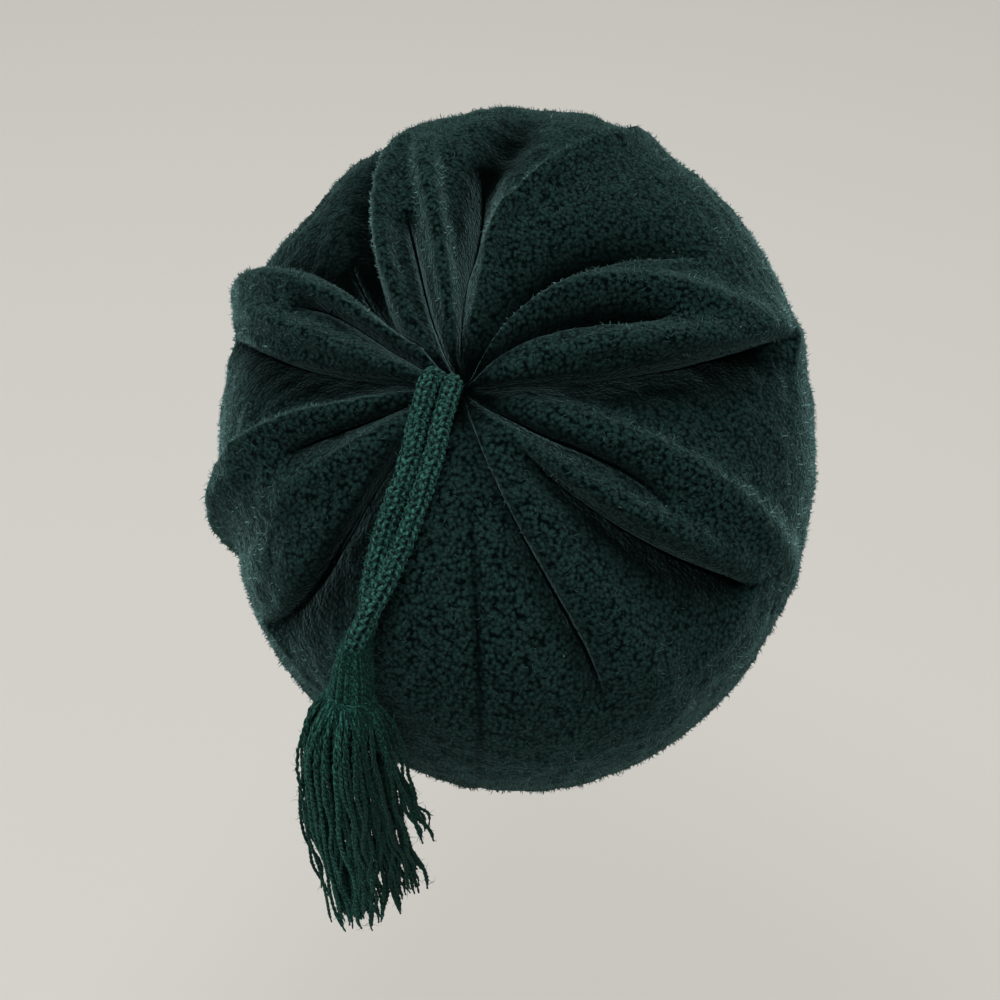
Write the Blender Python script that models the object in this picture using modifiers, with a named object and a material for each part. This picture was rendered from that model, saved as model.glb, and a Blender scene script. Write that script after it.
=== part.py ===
"""A gathered fleece beanie with a doubled knitted cord and a tassel, as it sits on a head.

Metres, +Z up. The origin is the middle of the rim's opening. The wearer faces -Y, so the nape is at +Y
and the wearer's left is at +X. The crown leans back, and the cord and the tassel hang straight down.
"""
import math

import bmesh
import bpy
import numpy as np
from mathutils import Vector

# Crown, measured over the cloth
CROWN_WIDTH = 0.184  # widest section, side to side
CROWN_LENGTH = 0.219  # widest section, front to back
DOME_HEIGHT = 0.070  # from the widest section up to the top
DOME_FULLNESS = 2.45  # superellipse power of the dome: 2 is round, more is flatter on top
BAND_HEIGHT = 0.057  # from the rim up to the widest section
RIM_WIDTH = 0.166
RIM_LENGTH = 0.194
SLOUCH = 0.012  # the widest section sits this far behind the rim's middle
CLOTH = 0.003  # thickness of the fleece
LEAN_BACK = math.radians(26)  # the rim drops towards the nape by this angle

# Gather in the top of the crown
GATHER_LEFT = 0.016  # the eye lies this far to the wearer's left of the middle
GATHER_BACK = 0.011  # and this far behind it
EYE_RADIUS = 0.0035
EYE_SLIDE = 1.5  # the rings' middles slide back from the eye with this power of their radius
DIMPLE_DEPTH = 0.0045
DIMPLE_RADIUS = 0.011
FOLD_RISE = 0.010  # height of a full fold
FOLD_SPREAD = 0.092  # a fold's width in the table is a share of this
PINCH = 0.4  # folds narrow towards the eye with this power of the ring's radius
SWELL = 0.5  # less makes a fold rise more quickly at its two ends, and a sharp one rises more quickly still
LEAN_SKEW = 2.0  # how much narrower a fold is on the side that it leans to, and wider on the other

# Doubled cord and tassel
CORD_DIAMETER = 0.0058
GAP = 0.0003  # left between pieces that touch
HEAD_WIDTH = 0.0128
HEAD_HEIGHT = 0.0155
HEAD_WAIST = 0.80  # the head's width at its foot, as a share of HEAD_WIDTH
SKIRT_LENGTH = 0.094
SKIRT_WIDTH = 0.034  # along the hat's side
SKIRT_DEPTH = 0.024  # away from the hat
LOCK_THICKNESS = 0.010
TIP_BEND = 1.5  # the lower half of a lock bends to its tip with this power of the length
HEAD_SIDES = 16
WELD = 0.00001  # points closer than this are one

# Grid of the crown
DOME_ROWS = 15
BAND_ROWS = 7
ROW_CROWDING = 1.2  # more than 1 brings the rows closer together near the eye

# One row for each fold. Angles are degrees round the eye, 0 at the wearer's left and 90 at the nape, where the
# fold starts, halfway along it and where it ends. From and to are shares of the dome from the eye (0) to the
# widest section (1); past 1 they run down the band to the rim (2). Crest is the share of the fold's own length
# at which it is strongest. Rise is a share of FOLD_RISE, negative for a valley. Width is a share of FOLD_SPREAD.
# Power shapes the cross-section: 2 is round, 1 is a sharp crease. Lean tips the fold sideways, as a share of
# FOLD_RISE, towards growing angles where it is positive.
FOLDS = [
    # name, start, middle, end, from, to, crest, rise, width, power, lean
    ("crease_a", 304, 299, 298, 0.00, 0.32, 0.58, -0.95, 0.028, 0.8, 0.0),
    ("arm_a_left", 326, 304, 291, 0.02, 0.76, 0.34, 0.55, 0.062, 2.6, 0.0),
    ("flank_a", 330, 308, 297, 0.06, 0.82, 0.38, -0.65, 0.060, 1.2, -0.20),
    ("arm_a_right", 284, 289, 288, 0.02, 0.76, 0.36, 0.60, 0.054, 2.8, 0.0),
    ("valley_b", 280, 272, 274, 0.00, 0.42, 0.58, -1.10, 0.042, 1.3, 0.0),
    ("hollow_b", 276, 267, 262, 0.14, 0.86, 0.42, -0.60, 0.100, 2.0, 0.0),
    ("edge_c", 266, 263, 266, 0.00, 0.42, 0.55, 0.30, 0.034, 2.2, 0.0),
    ("ridge_c_top", 272, 246, 243, 0.14, 0.94, 0.40, 0.50, 0.045, 1.5, 0.1),
    ("hollow_c", 250, 227, 210, 0.00, 0.50, 0.42, -0.55, 0.070, 1.3, -0.25),
    ("ridge_c_upper", 243, 198, 198, 0.02, 0.92, 0.38, 0.50, 0.070, 2.0, 0.0),
    ("crease_c", 230, 209, 199, 0.00, 0.36, 0.60, -1.05, 0.032, 0.9, -0.15),
    ("lobe_c", 197, 190, 191, 0.02, 0.82, 0.38, 0.50, 0.056, 2.4, -0.1),
    ("valley_d", 177, 184, 191, 0.00, 0.70, 0.46, -1.15, 0.060, 1.0, 0.35),
    ("ridge_e", 162, 155, 151, 0.04, 0.98, 0.42, 0.50, 0.070, 1.8, 0.05),
    ("crease_e", 138, 149, 146, 0.00, 0.40, 0.52, -0.60, 0.026, 0.9, 0.10),
    ("lobe_e", 130, 141, 147, 0.02, 0.70, 0.42, 0.40, 0.045, 2.4, -0.1),
    ("valley_f", 128, 136, 144, 0.10, 0.70, 0.58, -1.00, 0.056, 1.0, 0.35),
    ("panel_f", 113, 118, 120, 0.04, 0.95, 0.45, 0.35, 0.080, 2.0, 0.0),
    ("crease_g", 99, 107, 108, 0.00, 0.66, 0.60, -0.55, 0.030, 0.9, 0.20),
    ("panel_g", 96, 97, 97, 0.08, 0.90, 0.45, 0.10, 0.080, 2.0, 0.0),
    ("panel_h", 68, 67, 66, 0.08, 1.00, 0.45, 0.30, 0.130, 2.0, 0.0),
    ("valley_i", 42, 45, 38, 0.02, 0.86, 0.38, -1.05, 0.070, 1.0, -0.30),
    ("hollow_j", 34, 25, 20, 0.20, 1.10, 0.42, -0.30, 0.060, 2.0, 0.0),
    ("lobe_j", 31, 28, 24, 0.02, 0.72, 0.38, 0.40, 0.058, 2.4, 0.0),
    ("crease_j", 24, 20, 18, 0.00, 0.44, 0.50, -0.50, 0.030, 0.9, -0.15),
    ("ridge_j", 14, 12, 15, 0.03, 1.00, 0.44, 0.50, 0.042, 1.8, -0.1),
    ("valley_k", 2, 356, 347, 0.00, 0.84, 0.36, -1.00, 0.060, 1.0, -0.35),
    ("ridge_l_lower", 351, 346, 342, 0.02, 0.94, 0.40, 0.50, 0.048, 2.4, 0.1),
    ("crease_l", 343, 338, 341, 0.00, 0.42, 0.60, -0.95, 0.030, 0.9, -0.10),
    ("ridge_l_upper", 333, 337, 338, 0.03, 1.00, 0.38, 0.55, 0.050, 2.0, 0.0),
    ("flank_l", 322, 329, 334, 0.08, 0.76, 0.40, -0.45, 0.055, 1.2, 0.20),
    ("crease_al", 322, 325, 321, 0.00, 0.34, 0.50, -0.60, 0.026, 0.9, 0.0),
    ("taut_al", 318, 320, 323, 0.30, 1.60, 0.45, -0.30, 0.160, 2.0, 0.0),
    ("corner_l", 339, 339, 339, 0.45, 1.45, 0.45, 0.34, 0.046, 1.8, 0.0),
    ("corner_j", 16, 16, 16, 0.46, 1.54, 0.45, 0.50, 0.043, 1.8, 0.0),
    ("swell_b", 262, 262, 262, 0.50, 1.25, 0.45, 0.24, 0.280, 2.0, 0.0),
    ("swell_c", 222, 222, 222, 0.50, 1.45, 0.45, 0.16, 0.450, 2.0, 0.0),
    ("swell_i", 40, 40, 40, 0.65, 1.80, 0.45, 0.12, 0.250, 2.0, 0.0),
]

# The grid's columns follow these folds, so that no crease is cut across, with this many columns from each fold
# to the next.
GUIDES = [
    # name, columns
    ("ridge_j", 3),
    ("crease_j", 3),
    ("lobe_j", 4),
    ("valley_i", 6),
    ("panel_h", 7),
    ("panel_g", 3),
    ("crease_g", 4),
    ("panel_f", 4),
    ("valley_f", 3),
    ("crease_e", 3),
    ("ridge_e", 6),
    ("valley_d", 3),
    ("lobe_c", 3),
    ("crease_c", 4),
    ("ridge_c_upper", 6),
    ("hollow_c", 5),
    ("ridge_c_top", 4),
    ("valley_b", 4),
    ("arm_a_right", 4),
    ("crease_a", 4),
    ("flank_a", 5),
    ("crease_al", 5),
    ("ridge_l_upper", 4),
    ("crease_l", 4),
    ("ridge_l_lower", 4),
    ("valley_k", 4),
]
LEAST_TURN = 1.2  # degrees between two guides, at least

# Route of the doubled cord, chosen by hand: where its middle lies on the crown (degrees round the eye, share of
# the dome), how far it is above the cloth, how far apart its two strands are (both in cord diameters), and how
# far the pair has turned from side by side (0) towards one upon the other (90 degrees).
CORD_ROUTE = [
    # angle, share, lift, spacing, turn
    (8, 0.022, 1.16, 1.10, -20),
    (38, 0.034, 1.04, 1.10, -12),
    (53, 0.065, 0.96, 1.10, -4),
    (59, 0.105, 0.82, 1.08, 2),
    (61, 0.150, 0.71, 1.06, 6),
    (61, 0.200, 0.69, 1.10, 8),
    (61, 0.250, 0.69, 1.14, 10),
    (61, 0.305, 0.78, 1.12, 22),
    (61, 0.360, 0.94, 1.12, 40),
    (61, 0.410, 1.12, 1.12, 60),
    (61, 0.455, 1.22, 1.12, 78),
]
CORD_STEPS = 34
CAP_TILT = 0.18  # the strands end at a slant, so this share of their diameter higher above the head
REST_ANGLE = 61  # the middle of the tassel's head rests against the crown at this angle and share
REST_SHARE = 0.60

# Locks of the tassel's skirt. Across is a share of half SKIRT_WIDTH, towards the wearer's left where it is
# positive, at the skirt's middle and at its tip. Away is a share of SKIRT_DEPTH, 0 beside the hat. Length is a
# share of SKIRT_LENGTH and thickness of LOCK_THICKNESS.
LOCKS = [
    # name, across, across at the tip, away, length, thickness
    ("far_left", 0.60, 0.40, 0.50, 0.93, 0.85),
    ("left_front", 0.30, 0.22, 0.95, 1.00, 1.00),
    ("left_back", 0.34, 0.14, 0.10, 0.92, 1.00),
    ("middle_front", -0.08, -0.10, 1.00, 0.98, 1.00),
    ("middle", -0.06, -0.04, 0.55, 1.00, 1.10),
    ("middle_back", -0.12, -0.20, 0.05, 0.90, 1.00),
    ("right_front", -0.48, -0.50, 0.90, 0.98, 1.00),
    ("right", -0.46, -0.72, 0.45, 0.95, 1.00),
    ("right_back", -0.52, -0.85, 0.05, 0.88, 0.90),
    ("far_right", -0.82, -1.15, 0.62, 0.90, 0.80),
    ("right_tip", -0.86, -1.42, 0.28, 0.80, 0.75),
]
LOCK_SWELL = [
    # share of the length, across, thickness
    (-0.06, 0.20, 0.40),
    (0.06, 0.55, 0.75),
    (0.20, 0.95, 1.00),
    (0.50, 1.00, 0.95),
    (0.80, 1.00, 0.70),
    (1.00, 1.00, 0.35),
]

COLOURS = {
    # name: red, green, blue, roughness
    "fleece": (0.012, 0.034, 0.030, 0.95),
    "cord_yarn": (0.030, 0.110, 0.085, 0.90),
    "tassel_yarn": (0.014, 0.060, 0.040, 0.90),
}


def material(name):
    """A matt Principled material with the named colour."""
    made = bpy.data.materials.new(name)
    made.use_nodes = True
    shader = made.node_tree.nodes["Principled BSDF"]
    red, green, blue, rough = COLOURS[name]
    shader.inputs["Base Color"].default_value = (red, green, blue, 1.0)
    shader.inputs["Roughness"].default_value = rough
    shader.inputs["Metallic"].default_value = 0.0
    return made


def through(start, middle, end, along):
    """The parabola through three values at 0, 0.5 and 1 of along, held at its ends beyond them."""
    q = np.clip(along, 0.0, 1.0)
    return start * (1 - q) * (1 - 2 * q) + middle * 4 * q * (1 - q) + end * q * (2 * q - 1)


def fold_angle(fold, share):
    """The angle of a fold's middle line at a share of the way down, in degrees past the last whole turn."""
    _, start, middle, end, low, high = fold[:6]
    middle += 360 * round((start - middle) / 360)
    end += 360 * round((start - end) / 360)
    return through(start, middle, end, (share - low) / (high - low))


def column_angles(share, finer=1):
    """Angles of the grid's columns on each ring, in radians: even steps from each guide to the next."""
    rows = {fold[0]: fold for fold in FOLDS}
    guides = []
    for name, _ in GUIDES:
        angle = fold_angle(rows[name], share)
        if guides:
            angle = angle + 360 * np.round((guides[-1] + 20 - angle) / 360)
            angle = np.maximum(angle, guides[-1] + LEAST_TURN)
        guides.append(angle)
    guides.append(guides[0] + 360)
    steps = []
    for i, (_, columns) in enumerate(GUIDES):
        part = np.arange(columns * finer) / (columns * finer)
        steps.append(guides[i][:, None] + (guides[i + 1] - guides[i])[:, None] * part)
    return np.radians(np.concatenate(steps, axis=1))


def plain_crown(angle, share):
    """The crown without folds, in the hat's own upright frame, and the radius of its rings.

    Each ring is an ellipse. On the dome its size and height follow a superellipse and its middle slides from
    the eye to the widest section. On the band it draws in to the rim along half a cosine wave.
    """
    dome = np.clip(share, 0.0, 1.0) * math.pi / 2
    band = np.clip(share - 1.0, 0.0, 1.0)
    ring = np.sin(dome) ** (2 / DOME_FULLNESS)
    height = BAND_HEIGHT * (1 - band) + DOME_HEIGHT * np.cos(dome) ** (2 / DOME_FULLNESS)
    draw_in = 0.5 - 0.5 * np.cos(math.pi * band)
    half_width = 0.5 * (CROWN_WIDTH + (RIM_WIDTH - CROWN_WIDTH) * draw_in)
    half_length = 0.5 * (CROWN_LENGTH + (RIM_LENGTH - CROWN_LENGTH) * draw_in)
    off_eye = 1 - ring ** EYE_SLIDE
    x = GATHER_LEFT * off_eye + half_width * ring * np.cos(angle)
    y = GATHER_BACK * off_eye + SLOUCH * (1 - draw_in) + half_length * ring * np.sin(angle)
    radius = 0.5 * (half_width + half_length) * ring
    return np.stack(np.broadcast_arrays(x, y, height), axis=-1), radius


def unit(vectors):
    """Vectors scaled to length one."""
    return vectors / np.linalg.norm(vectors, axis=-1, keepdims=True)


def outward_of_plain(angle, share):
    """Directions square to the plain crown, in the hat's own frame."""
    step = 0.002
    around = plain_crown(angle + step, share)[0] - plain_crown(angle - step, share)[0]
    down = plain_crown(angle, share + step)[0] - plain_crown(angle, np.maximum(share - step, 0.001))[0]
    return unit(np.cross(down, around)), unit(around)


def fold_offsets(angle, share, radius):
    """How far all folds together push the cloth out of, and along, its plain surface.

    Across a fold the push is rise * exp(-|distance / width| ** power), and along it half a sine wave, highest at
    its crest, to the power SWELL * power. A fold that leans is narrower, and so steeper, on the side that it
    leans to. The dimple round the eye is one more bell.
    """
    out = -DIMPLE_DEPTH * np.exp(-((radius / DIMPLE_RADIUS) ** 2)) + np.zeros(np.shape(angle))
    sideways = np.zeros(np.shape(out))
    narrowing = (radius / FOLD_SPREAD) ** PINCH
    for fold in FOLDS:
        low, high, crest, rise, width, power, lean = fold[4:]
        along = np.clip((share - low) / (high - low), 0.0, 1.0)
        turn = (angle - np.radians(fold_angle(fold, share)) + math.pi) % (2 * math.pi) - math.pi
        uneven = 1 - LEAN_SKEW * lean * np.sign(turn)
        across = np.abs(turn) * radius / (width * FOLD_SPREAD * narrowing * uneven)
        strength = np.sin(math.pi * along ** (math.log(0.5) / math.log(crest))) ** (SWELL * power)
        shape = strength * np.exp(-(across ** power))
        out = out + rise * FOLD_RISE * shape
        sideways = sideways + lean * FOLD_RISE * shape
    return out, sideways


def folded_crown(angle, share):
    """The crown's outer face with its folds, in the hat's own frame."""
    angle, share = np.broadcast_arrays(np.asarray(angle, float), np.asarray(share, float))
    here, radius = plain_crown(angle, share)
    outward, around = outward_of_plain(angle, share)
    out, sideways = fold_offsets(angle, share, radius)
    return here + outward * out[..., None] + around * sideways[..., None]


def worn(points):
    """Points of the hat's own frame, leaned back as the hat is worn."""
    points = np.asarray(points)
    x, y, z = points[..., 0], points[..., 1], points[..., 2]
    turned_y = y * math.cos(LEAN_BACK) + z * math.sin(LEAN_BACK)
    turned_z = z * math.cos(LEAN_BACK) - y * math.sin(LEAN_BACK)
    return np.stack([x, turned_y, turned_z], axis=-1)


def above_crown(angle, share, lift):
    """Points at a height above the folded cloth, and the outward directions there, as worn."""
    angle, share = np.radians(np.asarray(angle, float)), np.asarray(share, float)
    outward = outward_of_plain(angle, share)[0]
    return worn(folded_crown(angle, share) + outward * np.asarray(lift)[..., None]), worn(outward)


def object_from_grid(name, rings, tip, collection):
    """An open surface through closed rings of points, with its first ring closed onto one tip point."""
    rows, columns = rings.shape[:2]
    mesh = bpy.data.meshes.new(name)
    shape = bmesh.new()
    verts = [[shape.verts.new(point) for point in ring] for ring in rings]
    top = shape.verts.new(tip)
    for column in range(columns):
        beside = (column + 1) % columns
        shape.faces.new((top, verts[0][column], verts[0][beside]))
        for row in range(rows - 1):
            shape.faces.new((verts[row][column], verts[row + 1][column],
                             verts[row + 1][beside], verts[row][beside]))
    bmesh.ops.recalc_face_normals(shape, faces=shape.faces)
    shape.to_mesh(mesh)
    shape.free()
    made = bpy.data.objects.new(name, mesh)
    collection.objects.link(made)
    return made


def make_crown(collection, seat):
    """The fleece crown: an open folded surface from the eye to the rim, given its thickness inwards."""
    first = EYE_RADIUS / (0.5 * CROWN_WIDTH)
    first_share = math.asin(first ** (DOME_FULLNESS / 2)) / (math.pi / 2)
    dome = first_share + (1 - first_share) * np.linspace(0, 1, DOME_ROWS) ** ROW_CROWDING
    band = np.linspace(1, 2, BAND_ROWS + 1)[1:]
    share = np.concatenate([dome, band])
    rings = folded_crown(column_angles(share), share[:, None])
    tip = rings[0].mean(axis=0)
    crown = object_from_grid("fleece_crown", rings, tip, collection)
    crown.data.shade_smooth()
    crown.data.materials.append(material("fleece"))
    wall = crown.modifiers.new("Fleece thickness", "SOLIDIFY")
    wall.thickness = CLOTH
    wall.offset = -1.0
    crown.parent = seat
    return crown


def smooth_route(points, count):
    """A Catmull-Rom curve through the chosen points, read at an even number of steps."""
    points = [Vector(point) for point in points]
    ends = [2 * points[0] - points[1]] + points + [2 * points[-1] - points[-2]]
    route = []
    for step in range(count):
        place = step / (count - 1) * (len(points) - 1)
        i = min(int(place), len(points) - 2)
        t = place - i
        a, b, c, d = ends[i:i + 4]
        route.append(0.5 * (2 * b + (c - a) * t + (2 * a - 5 * b + 4 * c - d) * t ** 2
                            + (3 * b - 3 * c + d - a) * t ** 3))
    return route


def tube(name, route, diameter, collection, sides_step=2, radii=None):
    """A round tube along a route, as a curve with filled ends."""
    data = bpy.data.curves.new(name, "CURVE")
    data.dimensions = "3D"
    data.bevel_depth = diameter / 2
    data.bevel_resolution = sides_step
    data.use_fill_caps = True
    spline = data.splines.new("POLY")
    spline.points.add(len(route) - 1)
    for i, point in enumerate(route):
        spline.points[i].co = (*point, 1.0)
        spline.points[i].radius = 1.0 if radii is None else radii[i]
    made = bpy.data.objects.new(name, data)
    collection.objects.link(made)
    return made


def cord_routes(head_top, head_up, outward_there):
    """The middle lines of the two strands, along the crown and then down to the tassel's head."""
    angle, share, lift, spacing, turn = np.array(CORD_ROUTE, float).T
    middle, outward = above_crown(angle, share, lift * CORD_DIAMETER)
    ahead = unit(np.gradient(middle, axis=0))
    sideways = unit(np.cross(outward, ahead))
    turn = np.radians(turn)[:, None]
    apart = (sideways * np.cos(turn) + outward * np.sin(turn)) * spacing[:, None] * CORD_DIAMETER / 2
    end_apart = outward_there * (CORD_DIAMETER + GAP) / 2
    end = head_top + head_up * (GAP + CORD_DIAMETER * CAP_TILT)
    routes = {}
    for name, side in (("cord_left", 1), ("cord_right", -1)):
        on_crown = [Vector(point) for point in middle + side * apart]
        routes[name] = smooth_route(on_crown + [end + side * end_apart], CORD_STEPS)
    return routes


def make_cords(collection, head_top, head_up, outward_there):
    """Two tubes side by side, from the eye of the gather to the tassel's head."""
    yarn = material("cord_yarn")
    for name, route in cord_routes(head_top, head_up, outward_there).items():
        strand = tube(name, route, CORD_DIAMETER, collection)
        strand.data.materials.append(yarn)


def head_place():
    """The top of the tassel's head, its axis upwards, and the direction out of the crown that it rests on."""
    point, outward = above_crown(REST_ANGLE, REST_SHARE, HEAD_WIDTH / 2 + 2 * GAP)
    outward = Vector(outward)
    up = Vector((0, 0, 1)) - outward * outward.z
    up.normalize()
    return Vector(point) + up * HEAD_HEIGHT / 2, up, outward


def as_mesh(curve_object, collection):
    """The closed mesh of a curve, which takes its place."""
    evaluated = curve_object.evaluated_get(bpy.context.evaluated_depsgraph_get())
    mesh = bpy.data.meshes.new_from_object(evaluated)
    shape = bmesh.new()
    shape.from_mesh(mesh)
    bmesh.ops.remove_doubles(shape, verts=shape.verts, dist=WELD)
    bmesh.ops.recalc_face_normals(shape, faces=shape.faces)
    shape.to_mesh(mesh)
    shape.free()
    name, place = curve_object.name, curve_object.matrix_world.copy()
    bpy.data.objects.remove(curve_object)
    made = bpy.data.objects.new(name, mesh)
    made.matrix_world = place
    collection.objects.link(made)
    return made


def tassel_head(collection, top, up):
    """The bound head: a turned bulb with a flat top, where the cord ends, and a waist below."""
    radius = HEAD_WIDTH / 2
    outline = [
        # share of the radius, share of the height
        (0.0, 0.0), (0.86, 0.0), (0.97, -0.15), (1.0, -0.45), (0.94, -0.80), (HEAD_WAIST, -1.0), (0.0, -1.0),
    ]
    mesh = bpy.data.meshes.new("tassel")
    points = [(radius * across, 0.0, HEAD_HEIGHT * down) for across, down in outline]
    mesh.from_pydata(points, [(i, i + 1) for i in range(len(points) - 1)], [])
    head = bpy.data.objects.new("tassel", mesh)
    collection.objects.link(head)
    head.location = top
    head.rotation_euler = Vector((0, 0, 1)).rotation_difference(up).to_euler()
    turned = head.modifiers.new("Turned", "SCREW")
    turned.axis = "Z"
    turned.steps = turned.render_steps = HEAD_SIDES
    turned.use_merge_vertices = True
    turned.merge_threshold = WELD
    return head


def make_tassel(collection, tools, head_top, head_up, outward_there):
    """The head with the locks of the skirt fused to it."""
    head = tassel_head(collection, head_top, head_up)
    foot = head_top - head_up * HEAD_HEIGHT
    away = Vector((outward_there.x, outward_there.y, 0)).normalized()
    along = Vector((away.y, -away.x, 0))
    near = LOCK_THICKNESS / 2 - HEAD_WAIST * HEAD_WIDTH / 2
    far = near + SKIRT_DEPTH - LOCK_THICKNESS
    bpy.context.view_layer.update()
    for name, across, tip, out, length, thickness in LOCKS:
        route, radii = [], []
        for share, spread, swell in LOCK_SWELL:
            bend = max(0.0, (share - 0.5) / 0.5) ** TIP_BEND
            sideways = (across + (tip - across) * bend) * spread * SKIRT_WIDTH / 2
            outwards = (near + (far - near) * out) * spread
            down = share * length * SKIRT_LENGTH
            route.append(foot + along * sideways + away * outwards - Vector((0, 0, down)))
            radii.append(swell * thickness)
        lock = tube("lock_" + name, route, LOCK_THICKNESS, tools, sides_step=1, radii=radii)
        bpy.context.view_layer.update()
        lock = as_mesh(lock, tools)
        lock.hide_render = True
        lock.display_type = "WIRE"
        fuse = head.modifiers.new("Fuse " + name, "BOOLEAN")
        fuse.operation = "UNION"
        fuse.object = lock
    head.data.materials.append(material("tassel_yarn"))


def main():
    for thing in list(bpy.data.objects):
        bpy.data.objects.remove(thing)
    parts = bpy.data.collections.new("tassel_beanie")
    tools = bpy.data.collections.new("cutters")
    bpy.context.scene.collection.children.link(parts)
    bpy.context.scene.collection.children.link(tools)
    seat = bpy.data.objects.new("head_seat", None)
    parts.objects.link(seat)
    seat.rotation_euler.x = -LEAN_BACK
    make_crown(parts, seat)
    head_top, head_up, outward_there = head_place()
    make_cords(parts, head_top, head_up, outward_there)
    make_tassel(parts, tools, head_top, head_up, outward_there)


main()
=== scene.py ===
"""The looks of a gathered fleece beanie with a doubled knitted cord and a tassel.

Metres, +Z up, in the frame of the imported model. The sizes, the table of folds and the cord's route are the
solids' own, so that the cloth, the cord and the yarn lie where the solids are.
"""
import math

import bpy
import numpy as np
from mathutils import Matrix, Vector


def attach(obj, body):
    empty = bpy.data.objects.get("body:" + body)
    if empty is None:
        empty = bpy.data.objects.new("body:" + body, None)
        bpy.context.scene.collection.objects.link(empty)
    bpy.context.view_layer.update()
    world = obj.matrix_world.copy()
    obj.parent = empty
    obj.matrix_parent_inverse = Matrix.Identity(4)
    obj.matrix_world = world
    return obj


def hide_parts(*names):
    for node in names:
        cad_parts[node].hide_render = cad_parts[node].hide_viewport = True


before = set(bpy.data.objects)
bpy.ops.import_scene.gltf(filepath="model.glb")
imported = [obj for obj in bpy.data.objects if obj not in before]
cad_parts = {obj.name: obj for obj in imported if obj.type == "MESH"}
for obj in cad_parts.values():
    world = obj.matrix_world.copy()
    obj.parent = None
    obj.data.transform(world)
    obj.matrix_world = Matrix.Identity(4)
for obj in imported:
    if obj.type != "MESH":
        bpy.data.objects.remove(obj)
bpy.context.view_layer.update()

# Crown, measured over the cloth
CROWN_WIDTH = 0.184
CROWN_LENGTH = 0.219
DOME_HEIGHT = 0.070
DOME_FULLNESS = 2.45
BAND_HEIGHT = 0.057
RIM_WIDTH = 0.166
RIM_LENGTH = 0.194
SLOUCH = 0.012
CLOTH = 0.003
LEAN_BACK = math.radians(26)

# Gather in the top of the crown
GATHER_LEFT = 0.016
GATHER_BACK = 0.011
EYE_RADIUS = 0.0035
EYE_SLIDE = 1.5
DIMPLE_DEPTH = 0.0045
DIMPLE_RADIUS = 0.011
FOLD_RISE = 0.010
FOLD_SPREAD = 0.092
PINCH = 0.4
SWELL = 0.5
LEAN_SKEW = 2.0

# Seam down the back: degrees round the eye at its top, middle and end, and the shares at its two ends
SEAM_ANGLES = (90, 84, 83)
SEAM_SHARES = (0.06, 1.30)
SEAM_WIDTH = 0.0007
SEAM_DEPTH = 0.0004

# Doubled cord and tassel
CORD_DIAMETER = 0.0058
GAP = 0.0003
HEAD_WIDTH = 0.0128
HEAD_HEIGHT = 0.0155
HEAD_WAIST = 0.80
SKIRT_LENGTH = 0.094
SKIRT_WIDTH = 0.034
SKIRT_DEPTH = 0.024
CAP_TILT = 0.18
REST_ANGLE = 61
REST_SHARE = 0.60

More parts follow.
